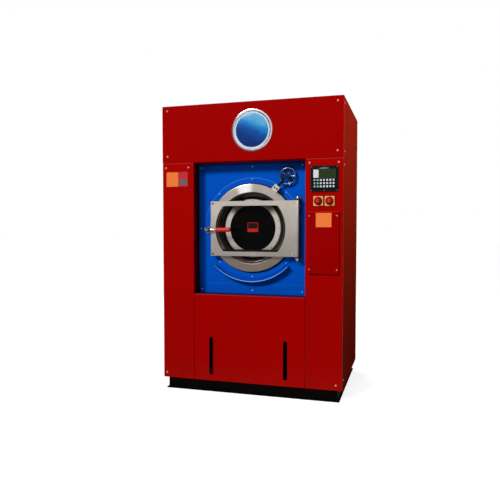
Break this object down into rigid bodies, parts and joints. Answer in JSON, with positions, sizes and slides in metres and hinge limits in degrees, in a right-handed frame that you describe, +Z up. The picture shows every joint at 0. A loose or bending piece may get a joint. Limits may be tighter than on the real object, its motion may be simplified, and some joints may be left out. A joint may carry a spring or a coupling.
{
  "type": "dry cleaning machine",
  "caption": "Front-loading dry cleaning machine: red casing on a black base, blue recess with hinged stainless door and window, handwheel, switches and a driven drum.",
  "frame": {"origin": "middle of the floor face of the base, at the centre of the floor bolt pattern", "axes": "+X to the right seen from the front, +Y from the door side to the back, +Z up"},
  "size_m": [1.205, 0.96, 1.885],
  "materials": {
    "red_paint": "satin powder coat",
    "side_red_paint": "satin powder coat",
    "blue_paint": "satin powder coat",
    "base_paint": "semi-matt black paint",
    "frame_paint": "matt dark grey paint",
    "stainless": "brushed stainless steel",
    "polished_steel": "polished stainless steel",
    "bowl_steel": "dark drawn stainless steel",
    "chrome": "bright chrome",
    "dark_steel": "oiled steel",
    "tub_steel": "satin stainless steel",
    "bearing_steel": "ground steel",
    "cast_iron": "painted casting",
    "motor_paint": "grey enamel",
    "rubber": "moulded black rubber",
    "belt_rubber": "belt rubber",
    "black_plastic": "smooth black plastic",
    "grey_plastic": "grey pipe plastic",
    "white_plastic": "membrane keys",
    "yellow_plastic": "moulded yellow plastic",
    "red_plastic": "moulded red plastic",
    "red_grip": "glossy red grip",
    "brass": "machined brass",
    "screws": "plated screw heads",
    "dark_glass": "dark tempered glass",
    "screen": "green display glass"
  },
  "bodies": {
    "machine": {"base_end_rails": "base_paint", "base_side_rails": "base_paint", "base_cross_rails": "base_paint", "frame_posts": "frame_paint", "frame_side_rails": "frame_paint", "frame_cross_rails": "frame_paint", "left_column_cover": "red_paint", "right_column_cover": "red_paint", "top_fascia": "red_paint", "lower_front_panel": "red_paint", "left_side_panel": "side_red_paint", "right_side_panel": "side_red_paint", "top_cover": "side_red_paint", "rear_lower_panel": "side_red_paint", "rear_upper_panel": "side_red_paint", "access_panel": "red_paint", "drum_front_panel": "blue_paint", "tub_flange": "blue_paint", "front_ring": "stainless", "door_seal": "rubber", "drip_gutter": "blue_paint", "hinge_brackets": "frame_paint", "hinge_pin": "chrome", "latch_keeper": "stainless", "wheel_bracket": "stainless", "wheel_arm": "dark_steel", "controller_case": "black_plastic", "controller_screen": "screen", "controller_keys": "white_plastic", "switch_plates": "yellow_plastic", "casing_screws": "screws", "front_panel_screws": "screws", "outer_tub": "tub_steel", "tub_supports": "frame_paint", "bearing_housing": "cast_iron", "drum_bearings": "bearing_steel", "motor": "motor_paint", "motor_mount": "frame_paint", "drive_belts": "belt_rubber", "drain_pipe": "grey_plastic", "water_inlets": "brass", "cable_gland": "black_plastic"},
    "door": {"door_frame": "stainless", "door_bowl": "bowl_steel", "door_gasket": "rubber", "door_glass": "dark_glass", "door_clamp_ring": "stainless", "door_screws": "screws", "latch_lug": "stainless"},
    "latch": {"latch_lever": "polished_steel", "latch_grip": "red_grip"},
    "wheel": {"handwheel": "chrome"},
    "left_knob": {"left_switch_knob": "red_plastic"},
    "right_knob": {"right_switch_knob": "red_plastic"},
    "drum": {"drum_basket": "tub_steel", "drum_lifters": "tub_steel", "drum_shaft": "dark_steel", "drum_pulley": "cast_iron"},
    "motor_rotor": {"motor_pulley": "cast_iron"}
  },
  "joints": [
    {"name": "door_swing", "type": "hinge", "parent": "machine", "child": "door", "pos_m": [0.307, -0.382, 1.082], "axis": [0, 0, 1], "range_deg": [0, 110]},
    {"name": "latch_turn", "type": "hinge", "parent": "door", "child": "latch", "pos_m": [-0.282, -0.39, 1.071], "axis": [0, -1, 0], "range_deg": [0, 90]},
    {"name": "wheel_spin", "type": "hinge", "parent": "machine", "child": "wheel", "pos_m": [0.237, -0.353, 1.414], "axis": [0, 1, 0], "continuous": true},
    {"name": "left_switch_turn", "type": "hinge", "parent": "machine", "child": "left_knob", "pos_m": [0.446, -0.446, 1.2485], "axis": [0, 1, 0], "range_deg": [0, 90]},
    {"name": "right_switch_turn", "type": "hinge", "parent": "machine", "child": "right_knob", "pos_m": [0.516, -0.446, 1.2485], "axis": [0, 1, 0], "range_deg": [0, 90]},
    {"name": "drum_spin", "type": "hinge", "parent": "machine", "child": "drum", "pos_m": [-0.005, 0, 1.082], "axis": [0, 1, 0], "continuous": true},
    {"name": "motor_spin", "type": "hinge", "parent": "machine", "child": "motor_rotor", "pos_m": [-0.005, 0.33, 0.215], "axis": [0, 1, 0], "continuous": true}
  ],
  "couplings": [
    {"joint": "motor_spin", "follows": "drum_spin", "ratio": 5}
  ]
}
